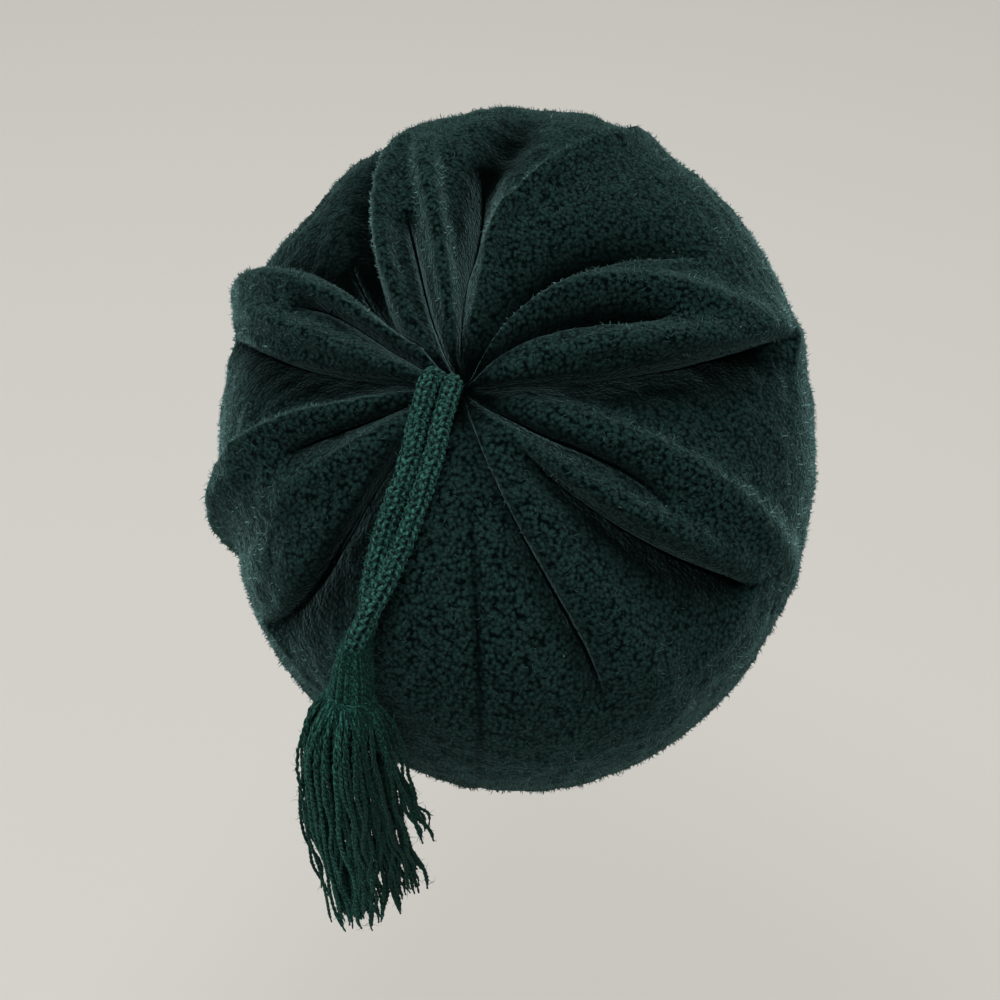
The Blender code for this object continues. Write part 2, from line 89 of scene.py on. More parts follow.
# One row for each fold, as in the solids: angles in degrees round the eye, shares of the way down, the rise
# as a share of FOLD_RISE, the width as a share of FOLD_SPREAD, the power of its cross-section, and its lean
# sideways
FOLDS = [
    # name, start, middle, end, from, to, crest, rise, width, power, lean
    ("crease_a", 304, 299, 298, 0.00, 0.32, 0.58, -0.95, 0.028, 0.8, 0.0),
    ("arm_a_left", 326, 304, 291, 0.02, 0.76, 0.34, 0.55, 0.062, 2.6, 0.0),
    ("flank_a", 330, 308, 297, 0.06, 0.82, 0.38, -0.65, 0.060, 1.2, -0.20),
    ("arm_a_right", 284, 289, 288, 0.02, 0.76, 0.36, 0.60, 0.054, 2.8, 0.0),
    ("valley_b", 280, 272, 274, 0.00, 0.42, 0.58, -1.10, 0.042, 1.3, 0.0),
    ("hollow_b", 276, 267, 262, 0.14, 0.86, 0.42, -0.60, 0.100, 2.0, 0.0),
    ("edge_c", 266, 263, 266, 0.00, 0.42, 0.55, 0.30, 0.034, 2.2, 0.0),
    ("ridge_c_top", 272, 246, 243, 0.14, 0.94, 0.40, 0.50, 0.045, 1.5, 0.1),
    ("hollow_c", 250, 227, 210, 0.00, 0.50, 0.42, -0.55, 0.070, 1.3, -0.25),
    ("ridge_c_upper", 243, 198, 198, 0.02, 0.92, 0.38, 0.50, 0.070, 2.0, 0.0),
    ("crease_c", 230, 209, 199, 0.00, 0.36, 0.60, -1.05, 0.032, 0.9, -0.15),
    ("lobe_c", 197, 190, 191, 0.02, 0.82, 0.38, 0.50, 0.056, 2.4, -0.1),
    ("valley_d", 177, 184, 191, 0.00, 0.70, 0.46, -1.15, 0.060, 1.0, 0.35),
    ("ridge_e", 162, 155, 151, 0.04, 0.98, 0.42, 0.50, 0.070, 1.8, 0.05),
    ("crease_e", 138, 149, 146, 0.00, 0.40, 0.52, -0.60, 0.026, 0.9, 0.10),
    ("lobe_e", 130, 141, 147, 0.02, 0.70, 0.42, 0.40, 0.045, 2.4, -0.1),
    ("valley_f", 128, 136, 144, 0.10, 0.70, 0.58, -1.00, 0.056, 1.0, 0.35),
    ("panel_f", 113, 118, 120, 0.04, 0.95, 0.45, 0.35, 0.080, 2.0, 0.0),
    ("crease_g", 99, 107, 108, 0.00, 0.66, 0.60, -0.55, 0.030, 0.9, 0.20),
    ("panel_g", 96, 97, 97, 0.08, 0.90, 0.45, 0.10, 0.080, 2.0, 0.0),
    ("panel_h", 68, 67, 66, 0.08, 1.00, 0.45, 0.30, 0.130, 2.0, 0.0),
    ("valley_i", 42, 45, 38, 0.02, 0.86, 0.38, -1.05, 0.070, 1.0, -0.30),
    ("hollow_j", 34, 25, 20, 0.20, 1.10, 0.42, -0.30, 0.060, 2.0, 0.0),
    ("lobe_j", 31, 28, 24, 0.02, 0.72, 0.38, 0.40, 0.058, 2.4, 0.0),
    ("crease_j", 24, 20, 18, 0.00, 0.44, 0.50, -0.50, 0.030, 0.9, -0.15),
    ("ridge_j", 14, 12, 15, 0.03, 1.00, 0.44, 0.50, 0.042, 1.8, -0.1),
    ("valley_k", 2, 356, 347, 0.00, 0.84, 0.36, -1.00, 0.060, 1.0, -0.35),
    ("ridge_l_lower", 351, 346, 342, 0.02, 0.94, 0.40, 0.50, 0.048, 2.4, 0.1),
    ("crease_l", 343, 338, 341, 0.00, 0.42, 0.60, -0.95, 0.030, 0.9, -0.10),
    ("ridge_l_upper", 333, 337, 338, 0.03, 1.00, 0.38, 0.55, 0.050, 2.0, 0.0),
    ("flank_l", 322, 329, 334, 0.08, 0.76, 0.40, -0.45, 0.055, 1.2, 0.20),
    ("crease_al", 322, 325, 321, 0.00, 0.34, 0.50, -0.60, 0.026, 0.9, 0.0),
    ("taut_al", 318, 320, 323, 0.30, 1.60, 0.45, -0.30, 0.160, 2.0, 0.0),
    ("corner_l", 339, 339, 339, 0.45, 1.45, 0.45, 0.34, 0.046, 1.8, 0.0),
    ("corner_j", 16, 16, 16, 0.46, 1.54, 0.45, 0.50, 0.043, 1.8, 0.0),
    ("swell_b", 262, 262, 262, 0.50, 1.25, 0.45, 0.24, 0.280, 2.0, 0.0),
    ("swell_c", 222, 222, 222, 0.50, 1.45, 0.45, 0.16, 0.450, 2.0, 0.0),
    ("swell_i", 40, 40, 40, 0.65, 1.80, 0.45, 0.12, 0.250, 2.0, 0.0),
]

# The grid's columns follow these folds, with this many columns from each to the next before they are made
# finer
GUIDES = [
    # name, columns
    ("ridge_j", 3), ("crease_j", 3), ("lobe_j", 4), ("valley_i", 6), ("panel_h", 7), ("panel_g", 3),
    ("crease_g", 4), ("panel_f", 4), ("valley_f", 3), ("crease_e", 3), ("ridge_e", 6), ("valley_d", 3),
    ("lobe_c", 3), ("crease_c", 4), ("ridge_c_upper", 6), ("hollow_c", 5), ("ridge_c_top", 4),
    ("valley_b", 4), ("arm_a_right", 4), ("crease_a", 4), ("flank_a", 5), ("crease_al", 5),
    ("ridge_l_upper", 4), ("crease_l", 4), ("ridge_l_lower", 4), ("valley_k", 4),
]
LEAST_TURN = 1.2  # degrees from one guide to the next at least
USUAL_TURN = 20  # and about how many there are
FINER = 5  # columns of the cloth for each column of the solid
DOME_ROWS = 100
BAND_ROWS = 38
LINING_ROWS = 22
EDGE_ROWS = 4
ROW_CROWDING = 1.15  # power that draws the dome's rings towards the eye
# The depth sets the painted shade in the folds and shortens the pile there
FULL_DEPTH = 0.45  # share of FOLD_RISE below the plain crown at which a point's depth is 1
# The height on a ridge sets the tufts' painted highlight
FULL_RIDGE = 0.55  # share of FOLD_RISE above it at which its height on a ridge is 1

# Route of the doubled cord: degrees round the eye, share of the dome, height above the cloth and distance
# between the strands, both in cord diameters, and how far the pair has turned from side by side, in degrees
CORD_ROUTE = [
    # angle, share, lift, spacing, turn
    (8, 0.022, 1.16, 1.10, -20),
    (38, 0.034, 1.04, 1.10, -12),
    (53, 0.065, 0.96, 1.10, -4),
    (59, 0.105, 0.82, 1.08, 2),
    (61, 0.150, 0.71, 1.06, 6),
    (61, 0.200, 0.69, 1.10, 8),
    (61, 0.250, 0.69, 1.14, 10),
    (61, 0.305, 0.78, 1.12, 22),
    (61, 0.360, 0.94, 1.12, 40),
    (61, 0.410, 1.12, 1.12, 60),
    (61, 0.455, 1.22, 1.12, 78),
]

# Camera, at the photograph's angle
ELEVATION = math.radians(44)
FOCAL_PIXELS = 1450.0  # focal length as pixels of the 1000 pixel picture
PICTURE = 1000
SENSOR = 36.0
CAMERA_DISTANCE = 0.4646
CROWN_PIXEL = (517.8, 408.0)  # where the middle of the crown's widest section lies in the picture


def unit(vectors):
    """Vectors scaled to length one."""
    return vectors / np.linalg.norm(vectors, axis=-1, keepdims=True)


def worn(points):
    """Points of the hat's own upright frame, leaned back as the hat is worn: a turn about X."""
    points = np.asarray(points, float)
    x, y, z = points[..., 0], points[..., 1], points[..., 2]
    turned_y = y * math.cos(LEAN_BACK) + z * math.sin(LEAN_BACK)
    turned_z = z * math.cos(LEAN_BACK) - y * math.sin(LEAN_BACK)
    return np.stack([x, turned_y, turned_z], axis=-1)


def make_camera():
    """A camera behind and above the hat, placed so that the crown's middle falls on its pixel."""
    back = np.array([0.0, math.cos(ELEVATION), math.sin(ELEVATION)])
    right = np.array([-1.0, 0.0, 0.0])
    up = np.array([0.0, -math.sin(ELEVATION), math.cos(ELEVATION)])
    aside, below = (np.array(CROWN_PIXEL) - PICTURE / 2) / FOCAL_PIXELS * CAMERA_DISTANCE
    middle = worn((0.0, 0.0, BAND_HEIGHT))
    place = middle + back * CAMERA_DISTANCE - right * aside + up * below
    data = bpy.data.cameras.new("camera")
    data.sensor_width = SENSOR
    data.lens = FOCAL_PIXELS / PICTURE * SENSOR
    camera = bpy.data.objects.new("camera", data)
    bpy.context.scene.collection.objects.link(camera)
    camera.matrix_world = Matrix.Translation(place) @ Matrix(np.stack([right, up, back], axis=1)).to_4x4()
    bpy.context.scene.camera = camera
    return right, up, back, middle


# Crown surface


def through(start, middle, end, along):
    """The parabola through three values at 0, 0.5 and 1 of along, held at its ends beyond them."""
    q = np.clip(along, 0.0, 1.0)
    return start * (1 - q) * (1 - 2 * q) + middle * 4 * q * (1 - q) + end * q * (2 * q - 1)


def fold_angle(fold, share):
    """The angle of a fold's middle line at a share of the way down, in degrees past the last whole turn."""
    _, start, middle, end, low, high = fold[:6]
    middle += 360 * round((start - middle) / 360)
    end += 360 * round((start - end) / 360)
    return through(start, middle, end, (share - low) / (high - low))


def column_angles(share, finer):
    """Angles of the grid's columns on each ring, in radians: even steps from each guide to the next."""
    rows = {fold[0]: fold for fold in FOLDS}
    guides = []
    for name, _ in GUIDES:
        angle = fold_angle(rows[name], share)
        if guides:
            angle = angle + 360 * np.round((guides[-1] + USUAL_TURN - angle) / 360)
            angle = np.maximum(angle, guides[-1] + LEAST_TURN)
        guides.append(angle)
    guides.append(guides[0] + 360)
    steps = []
    for i, (_, columns) in enumerate(GUIDES):
        part = np.arange(columns * finer) / (columns * finer)
        steps.append(guides[i][:, None] + (guides[i + 1] - guides[i])[:, None] * part)
    return np.radians(np.concatenate(steps, axis=1))


def plain_crown(angle, share):
    """The crown without folds, in the hat's own frame, and the radius of its rings.

    Each ring is an ellipse. On the dome its size and height follow a superellipse and its middle slides from
    the eye to the widest section. On the band it draws in to the rim along half a cosine wave.
    """
    dome = np.clip(share, 0.0, 1.0) * math.pi / 2
    band = np.clip(share - 1.0, 0.0, 1.0)
    ring = np.sin(dome) ** (2 / DOME_FULLNESS)
    height = BAND_HEIGHT * (1 - band) + DOME_HEIGHT * np.cos(dome) ** (2 / DOME_FULLNESS)
    draw_in = 0.5 - 0.5 * np.cos(math.pi * band)
    half_width = 0.5 * (CROWN_WIDTH + (RIM_WIDTH - CROWN_WIDTH) * draw_in)
    half_length = 0.5 * (CROWN_LENGTH + (RIM_LENGTH - CROWN_LENGTH) * draw_in)
    off_eye = 1 - ring ** EYE_SLIDE
    x = GATHER_LEFT * off_eye + half_width * ring * np.cos(angle)
    y = GATHER_BACK * off_eye + SLOUCH * (1 - draw_in) + half_length * ring * np.sin(angle)
    radius = 0.5 * (half_width + half_length) * ring
    return np.stack(np.broadcast_arrays(x, y, height), axis=-1), radius


def outward_of_plain(angle, share):
    """Directions square to the plain crown and round it, in the hat's own frame."""
    step = 0.002
    around = plain_crown(angle + step, share)[0] - plain_crown(angle - step, share)[0]
    down = plain_crown(angle, share + step)[0] - plain_crown(angle, np.maximum(share - step, 0.001))[0]
    return unit(np.cross(down, around)), unit(around)


def fold_offsets(angle, share, radius):
    """How far all folds together push the cloth out of, and along, its plain surface.

    Across a fold the push is rise * exp(-|distance / width| ** power), and along it half a sine wave, highest
    at its crest, to the power SWELL * power. A fold that leans is narrower, and so steeper, on the side that
    it leans to. The dimple round the eye is one more bell.
    """
    out = -DIMPLE_DEPTH * np.exp(-((radius / DIMPLE_RADIUS) ** 2)) + np.zeros(np.shape(angle))
    sideways = np.zeros(np.shape(out))
    narrowing = (radius / FOLD_SPREAD) ** PINCH
    for fold in FOLDS:
        low, high, crest, rise, width, power, lean = fold[4:]
        along = np.clip((share - low) / (high - low), 0.0, 1.0)
        turn = (angle - np.radians(fold_angle(fold, share)) + math.pi) % (2 * math.pi) - math.pi
        uneven = 1 - LEAN_SKEW * lean * np.sign(turn)
        across = np.abs(turn) * radius / (width * FOLD_SPREAD * narrowing * uneven)
        strength = np.sin(math.pi * along ** (math.log(0.5) / math.log(crest))) ** (SWELL * power)
        shape = strength * np.exp(-(across ** power))
        out = out + rise * FOLD_RISE * shape
        sideways = sideways + lean * FOLD_RISE * shape
    return out, sideways


def folded_crown(angle, share):
    """The crown's outer face, its outward directions and the depth of its folds, in the hat's own frame."""
    angle, share = np.broadcast_arrays(np.asarray(angle, float), np.asarray(share, float))
    here, radius = plain_crown(angle, share)
    outward, around = outward_of_plain(angle, share)
    out, sideways = fold_offsets(angle, share, radius)
    return here + outward * out[..., None] + around * sideways[..., None], outward, out


def above_crown(angle, share, lift):
    """Points at a height above the folded cloth, and the outward directions there, as worn."""
    points, outward, _ = folded_crown(np.radians(np.asarray(angle, float)), np.asarray(share, float))
    return worn(points + outward * np.asarray(lift)[..., None]), worn(outward)


# Meshes

NOISE_WAVES = 28
NO_QUADS = np.empty((0, 4), int)


def soft_noise(points, size, seed):
    """Soft random relief between about -1 and 1: the sum of sine waves of one size in seeded directions."""
    draw = np.random.default_rng(seed)
    directions = unit(draw.normal(size=(NOISE_WAVES, 3))) * draw.uniform(0.7, 1.4, (NOISE_WAVES, 1))
    directions = directions * 2 * math.pi / size
    phases = draw.uniform(0, 2 * math.pi, NOISE_WAVES)
    waves = np.sin(np.asarray(points) @ directions.T + phases)
    return waves.sum(axis=-1) * math.sqrt(2 / NOISE_WAVES) / 2


def make_piece(name, points, quads, triangles, values, look):
    """A smooth mesh object at the origin, from arrays of points and faces, that rides with the hat."""
    corners = np.concatenate([quads.ravel(), triangles.ravel()]).astype(np.int32)
    starts = np.concatenate([np.arange(len(quads)) * 4, quads.size + np.arange(len(triangles)) * 3])
    mesh = bpy.data.meshes.new(name)
    mesh.vertices.add(len(points))
    mesh.vertices.foreach_set("co", np.asarray(points, np.float32).ravel())
    mesh.loops.add(len(corners))
    mesh.loops.foreach_set("vertex_index", corners)
    mesh.polygons.add(len(starts))
    mesh.polygons.foreach_set("loop_start", starts.astype(np.int32))
    mesh.update(calc_edges=True)
    mesh.validate()
    mesh.shade_smooth()
    for key, value in values.items():
        layer = mesh.attributes.new(key, "FLOAT", "POINT")
        layer.data.foreach_set("value", np.asarray(value, np.float32).ravel())
    mesh.materials.append(look)
    made = bpy.data.objects.new(name, mesh)
    bpy.context.scene.collection.objects.link(made)
    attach(made, "root")
    return made


def ring_quads(rows, columns):
    """Faces of a grid whose columns close into rings, wound to face outwards when the rows run down."""
    row = np.arange(rows - 1)[:, None] * columns
    below = row + columns
    here = np.arange(columns)[None, :]
    beside = (here + 1) % columns
    return np.stack([row + here, below + here, below + beside, row + beside], -1).reshape(-1, 4)


def grid_normals(rings):
    """Directions square to a closed grid of rings, from the steps down and round it."""
    around = np.roll(rings, -1, axis=1) - np.roll(rings, 1, axis=1)
    down = np.gradient(rings, axis=0)
    return unit(np.cross(down, around))


def smooth_route(points, count):
    """A Catmull-Rom curve through the chosen points, read at an even number of steps."""
    points = np.asarray(points, float)
    ends = np.vstack([2 * points[0] - points[1], points, 2 * points[-1] - points[-2]])
    place = np.linspace(0, len(points) - 1, count)
    i = np.minimum(place.astype(int), len(points) - 2)
    t = (place - i)[:, None]
    a, b, c, d = ends[i], ends[i + 1], ends[i + 2], ends[i + 3]
    straight = 2 * b + (c - a) * t
    bent = (2 * a - 5 * b + 4 * c - d) * t ** 2
    return 0.5 * (straight + bent + (3 * b - 3 * c + d - a) * t ** 3)


def even_route(points, count):
    """A route's points moved along it to even steps of its length."""
    lengths = np.concatenate([[0], np.cumsum(np.linalg.norm(np.diff(points, axis=0), axis=1))])
    wanted = np.linspace(0, lengths[-1], count)
    return np.stack([np.interp(wanted, lengths, points[:, i]) for i in range(3)], axis=1), lengths[-1]


def tube_rings(route, radius, angle, reference):
    """Rings round a route: at each point the circle of the given radii in the plane square to the route.

    The route, radii and angles may carry leading axes for many tubes at once. The reference direction is
    never along the route, and fixes where a ring starts.
    """
    ahead = unit(np.gradient(route, axis=-2))
    side = unit(np.cross(np.broadcast_to(reference, route.shape), ahead))
    other = np.cross(ahead, side)
    spokes = np.cos(angle)[..., None] * side[..., None, :] + np.sin(angle)[..., None] * other[..., None, :]
    return route[..., None, :] + radius[..., None] * spokes


# Materials

# Linear colours: the dark and the pale of each material, and the painted shade that it turns to deep in a
# fold
CLOTH_COLOURS = (0.0006, 0.0022, 0.0018), (0.0115, 0.0295, 0.0265), (0.0003, 0.0010, 0.0008)
PILE_COLOURS = (0.0003, 0.0012, 0.0010), (0.0265, 0.062, 0.0565), (0.0003, 0.0010, 0.0008)
FUZZ_COLOURS = (0.003, 0.018, 0.013), (0.022, 0.100, 0.075), (0.001, 0.004, 0.003)
# For the cord and the tassel, the dark is painted shade between stitches and plies and the pale a painted
# highlight on their crests
CORD_COLOURS = (0.0004, 0.0035, 0.0028), (0.036, 0.145, 0.120)
TASSEL_COLOURS = (0.0006, 0.009, 0.006), (0.036, 0.195, 0.145)
LINT_COLOUR = (0.16, 0.17, 0.15)
FLEECE_TINT = (0.50, 0.93, 0.90)


def new_material(name, rough, sheen=0.0, sheen_rough=0.5, tint=(1, 1, 1), gloss=0.25):
    """A Principled material with its constant values set, and its node tree and shader."""
    made = bpy.data.materials.new(name)
    made.use_nodes = True
    shader = made.node_tree.nodes["Principled BSDF"]
    shader.inputs["Roughness"].default_value = rough
    shader.inputs["Specular IOR Level"].default_value = gloss
    shader.inputs["Sheen Weight"].default_value = sheen
    shader.inputs["Sheen Roughness"].default_value = sheen_rough
    shader.inputs["Sheen Tint"].default_value = (*tint, 1)
    return made, made.node_tree, shader


def add_node(tree, kind, inputs=None, **settings):
    """A shader node with its settings, and its inputs set or linked."""
    node = tree.nodes.new(kind)
    for key, value in settings.items():
        setattr(node, key, value)
    for key, value in (inputs or {}).items():
        if isinstance(value, bpy.types.NodeSocket):
            tree.links.new(value, node.inputs[key])
        else:
            node.inputs[key].default_value = value
    return node


def fibre_group():
    """Shared group: fine fibres and soft nubs of a size, as a height, and as a speckle from 0 to 1."""
    tree = bpy.data.node_groups.new("Fibres", "ShaderNodeTree")
    tree.interface.new_socket("Vector", in_out="INPUT", socket_type="NodeSocketVector")
    tree.interface.new_socket("Nub size", in_out="INPUT", socket_type="NodeSocketFloat")
    for name in ("Height", "Speckle"):
        tree.interface.new_socket(name, in_out="OUTPUT", socket_type="NodeSocketFloat")
    inside = tree.nodes.new("NodeGroupInput")
    outside = tree.nodes.new("NodeGroupOutput")
    place = inside.outputs["Vector"]
    divide = add_node(tree, "ShaderNodeMath", {0: 1.0, 1: inside.outputs["Nub size"]}, operation="DIVIDE")
    scale = divide.outputs[0]
    nubs = add_node(tree, "ShaderNodeTexVoronoi", {"Vector": place, "Scale": scale}, feature="SMOOTH_F1")
    nubs.inputs["Smoothness"].default_value = 0.5
    fine = add_node(tree, "ShaderNodeTexNoise", {"Vector": place, "Scale": scale, "Detail": 4.0,
                                                 "Roughness": 0.75})
    height = add_node(tree, "ShaderNodeMath", {0: fine.outputs["Fac"], 1: nubs.outputs["Distance"]},
                      operation="SUBTRACT")
    speckle = add_node(tree, "ShaderNodeMapRange", {"Value": height.outputs[0], "From Min": -0.25,
                                                    "From Max": 0.35})
    tree.links.new(height.outputs[0], outside.inputs["Height"])
    tree.links.new(speckle.outputs["Result"], outside.inputs["Speckle"])
    return tree


FIBRES = fibre_group()


def mixed(tree, factor, low, high):
    """The colour between two, at a factor."""
    node = add_node(tree, "ShaderNodeMix", data_type="RGBA")
    for socket, value in ((node.inputs[0], factor), (node.inputs[6], low), (node.inputs[7], high)):
        if isinstance(value, bpy.types.NodeSocket):
            tree.links.new(value, socket)
        else:
            socket.default_value = (*value, 1) if isinstance(value, tuple) else value
    return node.outputs[2]


def value_of(tree, name):
    """The value that a mesh's points carry under a name."""
    return add_node(tree, "ShaderNodeAttribute", attribute_name=name).outputs["Fac"]


def fibre_bump(tree, shader, nub_size, strength, distance):
    """Bumps of the shared fibres and nubs on a surface. What it gives back is their speckle, 0 to 1."""
    place = add_node(tree, "ShaderNodeTexCoord")
    fibres = add_node(tree, "ShaderNodeGroup", {"Nub size": nub_size}, node_tree=FIBRES)
    tree.links.new(place.outputs["Object"], fibres.inputs["Vector"])
    bump = add_node(tree, "ShaderNodeBump", {"Strength": strength, "Distance": distance,
                                             "Height": fibres.outputs["Height"]})
    tree.links.new(bump.outputs["Normal"], shader.inputs["Normal"])
    return fibres.outputs["Speckle"]


def fleece_look():
    """Dark bottle green fleece: nubs and fibres in the cloth under the pile, with painted shade, black, in
    the folds' depths.
    """
    made, tree, shader = new_material("fleece cloth", 1.0, 0.25, 0.36, FLEECE_TINT, 0.0)
    dark, pale, deep = CLOTH_COLOURS
    # The cloth's colour follows the speckle: darker in the gaps between nubs as painted shade, and uneven
    # with the fine noise
    colour = mixed(tree, fibre_bump(tree, shader, 0.0012, 1.0, 0.00025), dark, pale)
    # Painted shade: black where depth is 1, in the folds, half on the lining and at the eye; on the seam it
    # is its dark line
    colour = mixed(tree, value_of(tree, "depth"), colour, deep)
    tree.links.new(colour, shader.inputs["Base Color"])
    return made


def pile_look(name, dark, pale, deep, sheen, tint):
    """Tufts or loose fibres: each has its own tone, lighter at its tip, with painted shade at its root and
    deep in a fold; a few are pale lint.
    """
    made, tree, shader = new_material(name, 1.0, sheen, 0.34, tint, 0.0)
    colour = mixed(tree, value_of(tree, "tone"), dark, pale)
    # Painted shade deep in a fold
    colour = mixed(tree, value_of(tree, "depth"), colour, deep)
    colour = mixed(tree, value_of(tree, "lint"), colour, LINT_COLOUR)
    tree.links.new(colour, shader.inputs["Base Color"])
    return made


def yarn_look(name, dark, pale, sheen, tint):
    """Wool yarn: lighter on the crests of its plies and darker between them, painted highlight and painted
    shade, with fine fibres on it.
    """
    made, tree, shader = new_material(name, 0.9, sheen, 0.45, tint, 0.08)
    speckle = fibre_bump(tree, shader, 0.0006, 0.8, 0.0003)
    grain = add_node(tree, "ShaderNodeMapRange", {"Value": speckle, "To Min": 0.28, "To Max": 1.15})
    blend = add_node(tree, "ShaderNodeMath", {0: value_of(tree, "crest"), 1: grain.outputs["Result"]},
                     operation="MULTIPLY")
    spread = add_node(tree, "ShaderNodeMapRange", {"Value": blend.outputs[0], "From Min": 0.15,
                                                   "From Max": 0.9})
    colour = mixed(tree, spread.outputs["Result"], dark, pale)
    tree.links.new(colour, shader.inputs["Base Color"])
    return made


# Cords

WALES = 4  # columns of stitches round a strand
STITCH = 0.0022  # length of a stitch along a strand
KNIT_CORE = 0.0019  # radius at the bottom of the stitches
KNIT_RELIEF = 0.0010
KNIT_LEG = 0.20  # half width of a stitch's leg, as a share of a wale
KNIT_COLUMNS = 60
KNIT_STEP = 0.00029
CORD_END = 0.004


def knit_relief(wale, course):
    """Height of the stitches, 0 to 1, where wale and course count stitches round and along the strand.

    Each stitch is a V of two legs. A leg is a round ridge sqrt(1 - (distance / half width) ** 2) that runs
    from the stitch's middle outwards over one and a third courses, and dips at its two ends.
    """
    across = np.abs(wale % 1.0 - 0.5)
    height = np.zeros(np.shape(wale))
    for back in (0, 1):
        along = (course % 1.0 + back) / 1.36
        leg = 0.09 + 0.34 * along ** 0.8
        round_leg = np.sqrt(np.clip(1 - ((across - leg) / KNIT_LEG) ** 2, 0, 1))
        rise = np.sin(math.pi * np.clip(along, 0, 1)) ** 0.5
        height = np.maximum(height, round_leg * rise * (1 - 0.12 * back))
    return height


def cord_routes():
    """The middle lines of the two strands, along the crown and then down to the tassel's head."""
    angle, share, lift, spacing, turn = np.array(CORD_ROUTE, float).T
    middle, outward = above_crown(angle, share, lift * CORD_DIAMETER)
    ahead = unit(np.gradient(middle, axis=0))
    sideways = unit(np.cross(outward, ahead))
    turn = np.radians(turn)[:, None]
    apart = (sideways * np.cos(turn) + outward * np.sin(turn)) * spacing[:, None] * CORD_DIAMETER / 2
    end = HEAD_TOP + HEAD_UP * (GAP + CORD_DIAMETER * CAP_TILT)
    end_apart = HEAD_OUT * (CORD_DIAMETER + GAP) / 2
    routes = {}
    for name, side in (("knitted_cord_left", 1), ("knitted_cord_right", -1)):
        routes[name] = smooth_route(np.vstack([middle + side * apart, end + side * end_apart]), 200)
    return routes


def head_place():
    """The top of the tassel's head, its axis upwards, and the direction out of the crown that it rests on."""
    point, outward = above_crown(REST_ANGLE, REST_SHARE, HEAD_WIDTH / 2 + 2 * GAP)
    up = unit(np.array([0, 0, 1.0]) - outward * outward[2])
    return point + up * HEAD_HEIGHT / 2, up, outward


HEAD_TOP, HEAD_UP, HEAD_OUT = head_place()
ROUTE_SIDE = np.array([math.sin(math.radians(REST_ANGLE)), -math.cos(math.radians(REST_ANGLE)), 0.0])


def make_knit(name, route, look, narrowing):
    """A round knitted strand along a route: a tube whose radius is the core plus the relief of its stitches.

    It narrows by the given share over its last CORD_END, where it runs into the gather or the tassel.
    """
    length = np.linalg.norm(np.diff(route, axis=0), axis=1).sum()
    rows = int(length / KNIT_STEP)
    path, length = even_route(route, rows)
    along = np.linspace(0, length, rows)[:, None]
    angle = np.linspace(0, 2 * math.pi, KNIT_COLUMNS, endpoint=False)[None, :]
    wale = angle / (2 * math.pi) * WALES

    def drift(reach, size, seed):
        """Soft noise along the strand and round it."""
        return soft_noise(np.stack(np.broadcast_arrays(along, angle * reach, angle * 0), -1), size, seed)

    sway = 0.10 * drift(0.001, 0.006, 5)
    relief = knit_relief(wale + sway, along / STITCH + sway)
    lumps = 1 + 0.05 * drift(0.002, 0.004, 6)
    near_end = np.clip(1 - (length - along) / CORD_END, 0, 1)
    radius = (KNIT_CORE + KNIT_RELIEF * relief) * lumps * (1 - narrowing * near_end)
    rings = tube_rings(path, radius, np.broadcast_to(angle, radius.shape), ROUTE_SIDE)
    points = np.vstack([rings.reshape(-1, 3), path[:1], path[-1:]])
    quads = ring_quads(rows, KNIT_COLUMNS)[:, ::-1]
    here = np.arange(KNIT_COLUMNS)
    beside = (here + 1) % KNIT_COLUMNS
    first, last = len(points) - 2, len(points) - 1
    foot = (rows - 1) * KNIT_COLUMNS
    caps = np.concatenate([np.stack([beside, here, np.full(KNIT_COLUMNS, first)], 1),
                           np.stack([foot + here, foot + beside, np.full(KNIT_COLUMNS, last)], 1)])
    # The crest sets the colour: painted highlight on the stitches, painted shade in the holes between them
    # and at the ends
    uneven = 0.80 + 0.24 * soft_noise(rings, 0.0020, 8)
    crest = np.concatenate([(relief * uneven).ravel(), [0, 0]])
    made = make_piece(name, points, quads, caps, {"crest": crest}, look)
    return made, path, length


def root_route(route):
    """From a strand's upper end on into the gather: a curve that leaves as the strand came, and dives."""
    top, square = above_crown(0.0, 0.01, np.array(-0.006))
    start = route[0]
    ahead = unit(route[0] - route[6])
    bends = np.stack([start, start + ahead * 0.0022, top + square * 0.0065, top])
    share = np.linspace(0, 1, 40)[:, None]
    weights = [(1 - share) ** 3, 3 * share * (1 - share) ** 2, 3 * share ** 2 * (1 - share), share ** 3]
    return sum(weight * bend for weight, bend in zip(weights, bends))


# Tassel

STRAND = 0.00052  # radius of a plied strand
STRAND_TAPER = 0.004  # length over which a strand thins out at its tip
PLIES = 2
PLY_TURN = 0.0042  # length in which the plies turn once
PLY_RELIEF = 0.28
STRAND_SIDES = 6
STRAND_ROWS = 106
FUZZY_ROWS = 22  # rows at the top of the strands that carry the head's own loose fibres
LOCK_THICKNESS = 0.010  # what a lock takes of the skirt's depth
